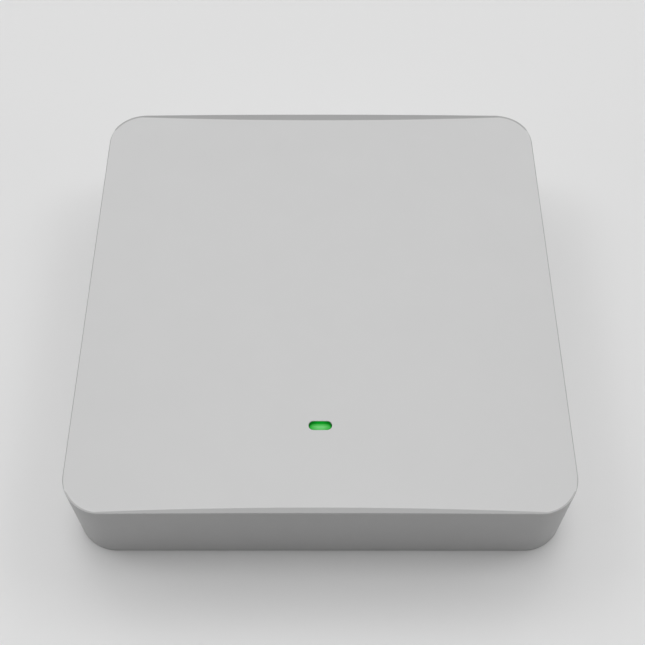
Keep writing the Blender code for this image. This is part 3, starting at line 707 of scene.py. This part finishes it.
def make_cover(look):
    """The moulded cover: drafted walls, lips, a hollow inside, and the slot for the status light."""
    mesh = bmesh.new()
    outer = add_rings(mesh, outer_rings())
    inner = add_rings(mesh, inner_rings())
    slot = add_rings(mesh, slot_rings())
    count = len(outer[0])
    for i in range(count):
        j = (i + 1) % count
        mesh.faces.new((outer[0][i], outer[0][j], inner[-1][j], inner[-1][i]))
    for ring, hole in ((outer[-1], slot[0]), (inner[0], slot[-1])):
        edges = loop_edges(mesh, ring) + loop_edges(mesh, hole)
        bmesh.ops.triangle_fill(mesh, use_beauty=True, edges=edges)
    cover = piece("cover_shell", mesh, look, "access_point", "cover_plastic", "front_cover")
    combine(cover, "UNION", cover_bosses())
    smooth(cover, 50.0)
    weigh_normals(cover)


def make_light_pipe(look):
    """A column that fills the slot, with a flange under the face and a deep cup in its top."""
    mesh = bmesh.new()
    outside = [
        (STEM_RADIUS, PIPE_LOW.z), (STEM_RADIUS, FLANGE_LOW), (FLANGE_RADIUS, FLANGE_LOW),
        (FLANGE_RADIUS, FLANGE_HIGH), (CUP_RADIUS, FLANGE_HIGH), (CUP_RADIUS, CUP_RIM - CUP_EDGE),
    ]
    inside = [
        (CUP_RADIUS - 0.05 * MM, CUP_RIM), (CUP_RADIUS - 0.16 * MM, CUP_RIM),
        (CUP_RADIUS - 0.24 * MM, CUP_RIM - CUP_EDGE), (CUP_RADIUS - 0.34 * MM, CUP_FLOOR + 0.5 * MM),
        (CUP_RADIUS - 0.48 * MM, CUP_FLOOR + 0.15 * MM), (CUP_RADIUS - 0.8 * MM, CUP_FLOOR),
    ]
    add_solid(mesh, [pill(radius, z) for radius, z in outside + inside])
    item = piece("light_pipe_cup", mesh, look, "access_point", "light_green", "light_pipe")
    smooth(item, 50.0)


# ---------------------------------------------------------------- bars, sheet strips and the latch

def cut_section(half_width, half_height, cut):
    """Corners of a rectangle with each one cut off, anticlockwise from the lower right."""
    section = []
    for sign_x, sign_z in ((1, -1), (1, 1), (-1, 1), (-1, -1)):
        flat = (sign_x * (half_width - cut), sign_z * half_height)
        side = (sign_x * half_width, sign_z * (half_height - cut))
        section += [flat, side] if sign_x == -sign_z else [side, flat]
    return section


def sheet_strip(path, widths, thickness):
    """A strip of sheet metal of even thickness along a path in the YZ plane, with broken edges."""
    mesh = bmesh.new()
    rings = []
    for i, (here, width) in enumerate(zip(path, widths)):
        along = (path[min(i + 1, len(path) - 1)] - path[max(i - 1, 0)]).normalized()
        up = Vector((0.0, -along.z, along.y)) * (-1 if along.y < 0 else 1)
        section = cut_section(width, thickness / 2, thickness * LEAF_EDGE)
        rings.append([here + up * rise + Vector((x, 0, 0)) for x, rise in section])
    add_solid(mesh, rings)
    return mesh


def even_path(turns):
    """Points along a run of straight lines in the YZ plane, about one leaf step apart."""
    path = []
    for (y0, z0), (y1, z1) in zip(turns, turns[1:]):
        steps = max(2, round(abs(y1 - y0) / LEAF_STEP))
        for step in range(steps):
            share = step / steps
            path.append(Vector((0.0, y0 + (y1 - y0) * share, z0 + (z1 - z0) * share)))
    return path + [Vector((0.0, *turns[-1]))]


def make_latch(look):
    """One leaf of spring sheet from the rivet to the catch, which bends where the CAD has its hinge."""
    root_low, root_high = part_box("latch_root")
    tip_low, tip_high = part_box("latch_tongue")
    thickness = root_high.z - root_low.z
    flat_z = (root_low.z + root_high.z) / 2
    bend_y = (root_low.y + tip_high.y) / 2
    apex_y = bend_y - CATCH_FROM_BEND
    tip_z = tip_low.z + TIP_RISE
    path = even_path([
        (root_high.y, flat_z), (bend_y, flat_z), (apex_y + SLOPE_LENGTH, SLOPE_FOOT_Z),
        (apex_y, tip_high.z - thickness / 2), (apex_y - CATCH_BACK, tip_z), (tip_low.y, tip_z),
    ])
    widths = []
    for point in path:
        widening = ease((point.y - bend_y - WIDENING_START) / WIDENING_LENGTH)
        width = tip_high.x + (root_high.x - tip_high.x) * widening
        from_end = min(point.y - tip_low.y, root_high.y - point.y)
        missing = max(0.0, LEAF_CORNER - from_end)
        widths.append(width - missing * missing / (2 * LEAF_CORNER))
    leaf = piece("latch_leaf", sheet_strip(path, widths, thickness), look, None, "spring_steel",
                 "latch_root", "latch_tongue")
    rivet_low, rivet_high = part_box("latch_rivet")
    centre = ((rivet_low.x + rivet_high.x) / 2, (rivet_low.y + rivet_high.y) / 2)
    hole = bmesh.new()
    add_solid(hole, [circle(centre, RIVET_HOLE, z, SMALL_SIDES) for z in RIVET_HOLE_ENDS])
    combine(leaf, "DIFFERENCE", hole)
    smooth(leaf, 30.0)
    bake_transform(leaf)


# ---------------------------------------------------------------- inside the sockets

def add_bar(mesh, mouth, x, run, half):
    """A bar with cut corners, along a run of depths from a socket's mouth and heights from its roof."""
    section = cut_section(*half, BAR_CUT * min(half))
    path = [Vector((x, mouth.y + depth, mouth.z + height)) for depth, height in run]
    add_solid(mesh, [[point + Vector((across, 0, up)) for across, up in section] for point in path])


def make_jack_insides(plastic, gold):
    """In each network socket: a plastic comb at the back, and sprung contacts that start at its roof."""
    for name in ("poe_jack", "aux_jack", "console_jack"):
        low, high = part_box(name)
        mouth = Vector(((low.x + high.x) / 2, low.y, high.z - ROOF_THICKNESS))
        comb = bmesh.new()
        for i in range(CONTACTS + 1):
            add_bar(comb, mouth, mouth.x + (i - CONTACTS / 2) * CONTACT_PITCH, TOOTH_RUN, TOOTH_HALF)
        add_bar(comb, mouth, mouth.x, BACK_RUN, BACK_HALF)
        smooth(piece(name + "_comb", comb, plastic, "access_point", "jack_plastic"), 30.0)
        wires = bmesh.new()
        for i in range(CONTACTS):
            x = mouth.x + (i - (CONTACTS - 1) / 2) * CONTACT_PITCH
            add_bar(wires, mouth, x, CONTACT_RUN, CONTACT_HALF)
        smooth(piece(name + "_contacts", wires, gold, "access_point", "brass"), 30.0)


def make_power_pin(look):
    """The round-nosed centre pin of the power socket, over its CAD core."""
    low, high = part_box("dc_jack")
    axis = ((low.x + high.x) / 2, POWER_AXIS_Z)
    mesh = bmesh.new()
    rings = []
    for depth, radius in PIN_PROFILE:
        rings.append([Vector((p.x, low.y + depth, p.y)) for p in circle(axis, radius, 0.0, SMALL_SIDES)])
    add_solid(mesh, rings)
    smooth(piece("dc_pin", mesh, look, "access_point", "screw_steel"), 40.0)


# ---------------------------------------------------------------- camera, floor and light

SENSOR_WIDTH = 36.0
CAMERA_LENS = 55.446
CAMERA_PLACE = (1.05 * MM, -248.57 * MM, 437.14 * MM)
CAMERA_ELEVATION = 59.465
CAMERA_TURN = 0.032

# The floor lies just under the bracket's back, and reaches far enough to be the whole background
FLOOR_Z = -0.05 * MM
FLOOR_HALF = 60.0
FLOOR_WHITE = (0.80, 0.80, 0.80)

ROOM_GREY = (0.22, 0.22, 0.22)


def make_camera():
    """In front of the object on its -Y side, looking down at the face."""
    data = bpy.data.cameras.new("camera")
    data.sensor_width = SENSOR_WIDTH
    data.lens = CAMERA_LENS
    camera = add_object("camera", data)
    camera.location = CAMERA_PLACE
    camera.rotation_euler = (math.radians(90.0 - CAMERA_ELEVATION), 0.0, math.radians(CAMERA_TURN))
    bpy.context.scene.camera = camera


def make_floor():
    """A matt white surface in place of the ceiling."""
    mesh = bmesh.new()
    bmesh.ops.create_grid(mesh, x_segments=1, y_segments=1, size=FLOOR_HALF)
    look = Look("floor_white", FLOOR_WHITE, 0.9, Specular_IOR_Level=0.0)
    floor = mesh_object("floor", mesh)
    floor.data.materials.append(look.material)
    floor.location.z = FLOOR_Z


def lamp(name, elevation, azimuth, strength, angle, shadow=True):
    """A far, wide lamp. Azimuth 0 shines from the camera's side, 180 from behind the object."""
    data = bpy.data.lights.new(name, "SUN")
    data.energy = strength
    data.angle = math.radians(angle)
    data.use_shadow = shadow
    light = add_object(name, data)
    light.rotation_euler = (math.radians(90.0 - elevation), 0.0, math.radians(azimuth))


def make_lights():
    """Soft light from overhead and from behind, on both sides alike, in a dim grey room."""
    world = bpy.data.worlds.new("studio")
    bpy.context.scene.world = world
    world.use_nodes = True
    world.node_tree.nodes["Background"].inputs["Color"].default_value = (*ROOM_GREY, 1.0)
    lamp("overhead", 85.0, 180.0, 0.765, 28.0)
    lamp("back", 54.0, 180.0, 0.38, 26.0)
    for side in (-1, 1):
        lamp("side", 42.0, side * 118.0, 0.36, 26.0)
        lamp("fill", 42.0, side * 100.0, 0.13, 26.0, shadow=False)
        lamp("corner", 40.0, side * 150.0, 0.28, 24.0)
        lamp("low", 12.0, side * 75.0, 0.22, 24.0)
    bpy.context.scene.view_settings.view_transform = "Standard"


looks = all_looks()
paint_nodes(looks)
make_cover(looks["cover_plastic"])
make_light_pipe(looks["light_green"])
make_latch(looks["spring_steel"])
make_jack_insides(looks["jack_plastic"], looks["brass"])
make_power_pin(looks["screw_steel"])
soften_edges()
make_camera()
make_floor()
make_lights()
